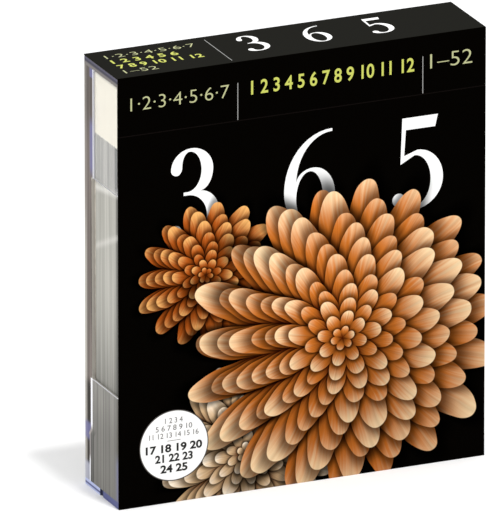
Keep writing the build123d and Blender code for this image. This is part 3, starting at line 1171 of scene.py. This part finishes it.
# The same for the seal: text, height, width, and foot above its centre
SEAL_FINE = (
    ("1 2 3 4", 2.1, 7.5, 9.4), ("5 6 7 8 9 10", 2.1, 15.5, 6.4), ("11 12 13 14 15 16", 2.1, 21, 3.4),
)
SEAL_RULE = ("", 0.2, 5.6, 2.0)
SEAL_BOLD = (("17 18 19 20", 3, 24, -2.4), ("21 22 23", 3, 16, -6.5), ("24 25", 3, 11.5, -10.9))
SEAL_PRINT = {"fine": (PLAIN, (*SEAL_FINE, SEAL_RULE)), "bold": (HEAVY, SEAL_BOLD)}


class CALENDAR_OT_seal_figures(Operator):
    """Sets rows of plain figures on the seal"""

    bl_idname = "calendar.seal_figures"
    bl_label = "Seal Figures"

    def execute(self, context):
        ink = settings().ink
        colours = {"fine": ink.grey, "bold": ink.dark}
        depth = SEAL_LOW.y - ink.film / 2
        centre = (SEAL_LOW + SEAL_HIGH) / 2 * PER_MM
        for name, (weight, rows) in SEAL_PRINT.items():
            meshes = [
                on_front(print_film(*row, weight), centre.x - row[-1] / 2, depth, centre.z + foot)
                for *row, foot in rows
            ]
            finish = flat_ink(f"seal_{name}_ink", colours[name])
            piece = add_piece(f"seal_{name}_print", joined_mesh(name, meshes), "seal_paper", finish)
            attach(piece, "cover")
        return {"FINISHED"}


# The calendar's centre, where the lamps hang and how far the floor reaches, in metres
CENTRE = Vector((0, 0, CAD_BOX[1][2] / 2))
KEY_AT = Vector((0.013, -0.416, 1.9))
FILL_AT = Vector((-1.3, -0.35, 0.6))
FLOOR_REACH = 6.0


class CALENDAR_OT_stage(Operator):
    """Adds the pale floor, the soft lights and the camera"""

    bl_idname = "calendar.stage"
    bl_label = "Stage"

    def execute(self, context):
        stage = settings().stage
        self.add_floor(stage)
        self.add_world(context.scene, stage)
        self.add_lamp("key_light", stage.key, stage.key_size, KEY_AT)
        self.add_lamp("soft_fill", stage.fill, stage.fill_size, FILL_AT)
        self.add_camera(context.scene, stage)
        context.scene.view_settings.view_transform = "Standard"
        return {"FINISHED"}

    def add_floor(self, stage):
        made = bmesh.new()
        bmesh.ops.create_grid(made, x_segments=1, y_segments=1, size=FLOOR_REACH)
        mesh = bpy.data.meshes.new("studio_floor")
        made.to_mesh(mesh)
        made.free()
        floor = in_scene("studio_floor", mesh)
        shader = Shader("studio_floor")
        grain = shader.noise(shader.object_place(), 3.0)
        finish = shader.surface(
            base_color=(grain * 0.02 + 0.99).dim(stage.floor),
            roughness=0.9,
            specular_ior_level=0.1,
            emission_color=(1, 1, 1),
            emission_strength=stage.floor_glow,
        )
        mesh.materials.append(finish)

    def add_world(self, scene, stage):
        scene.world = bpy.data.worlds.new("studio")
        scene.world.use_nodes = True
        light = scene.world.node_tree.nodes["Background"].inputs
        light["Color"].default_value = (1, 1, 1, 1)
        light["Strength"].default_value = stage.ambient

    def add_lamp(self, name, power, size, place):
        lamp = bpy.data.lights.new(name, "AREA")
        lamp.shape = "DISK"
        lamp.size = size
        lamp.energy = power
        holder = in_scene(name, lamp)
        holder.location = place
        holder.rotation_euler = (CENTRE - place).to_track_quat("-Z", "Y").to_euler()

    def add_camera(self, scene, stage):
        lens = bpy.data.cameras.new("photo_camera")
        camera = in_scene("photo_camera", lens)
        lens.sensor_fit = "VERTICAL"
        lens.sensor_height = SENSOR
        lens.lens = SENSOR * stage.distance * PER_MM * stage.pixels_per_mm / PHOTO_HEIGHT_PX
        level = math.cos(stage.elevation)
        back = Vector(
            (math.sin(stage.azimuth) * level, -math.cos(stage.azimuth) * level, math.sin(stage.elevation))
        )
        turn = back.to_track_quat("Z", "Y")
        per_pixel = MM / stage.pixels_per_mm
        left = (PHOTO_WIDTH_PX / 2 - CENTRE_AT_PX[0]) * per_pixel
        drop = (CENTRE_AT_PX[1] - PHOTO_HEIGHT_PX / 2) * per_pixel
        camera.location = CENTRE + turn @ Vector((left, drop, 0)) + back * stage.distance
        camera.rotation_euler = turn.to_euler()
        scene.camera = camera


class CALENDAR_PT_sidebar(Panel):
    """Lists the calendar's steps in the sidebar"""

    bl_idname = "CALENDAR_PT_sidebar"
    bl_label = "Tear-off Calendar"
    bl_space_type = "VIEW_3D"
    bl_region_type = "UI"
    bl_category = "Calendar"

    def draw(self, context):
        for step in STEPS:
            self.layout.operator(step.bl_idname)


STEPS = (
    CALENDAR_OT_clear_case,
    CALENDAR_OT_bound_pad,
    CALENDAR_OT_day_leaves,
    CALENDAR_OT_cover_card,
    CALENDAR_OT_large_figures,
    CALENDAR_OT_small_figures,
    CALENDAR_OT_seal_figures,
    CALENDAR_OT_stage,
)
GROUPS = (CaseSettings, PaperSettings, PrintSettings, StageSettings, CalendarSettings)
CLASSES = (*GROUPS, *STEPS, CALENDAR_PT_sidebar)


def register():
    for cls in CLASSES:
        bpy.utils.register_class(cls)
    bpy.types.Scene.tear_off_calendar = PointerProperty(type=CalendarSettings)


def unregister():
    del bpy.types.Scene.tear_off_calendar
    for cls in reversed(CLASSES):
        bpy.utils.unregister_class(cls)


def main():
    register()
    for step in STEPS:
        family, name = step.bl_idname.split(".")
        getattr(getattr(bpy.ops, family), name)()


if __name__ == "__main__":
    main()
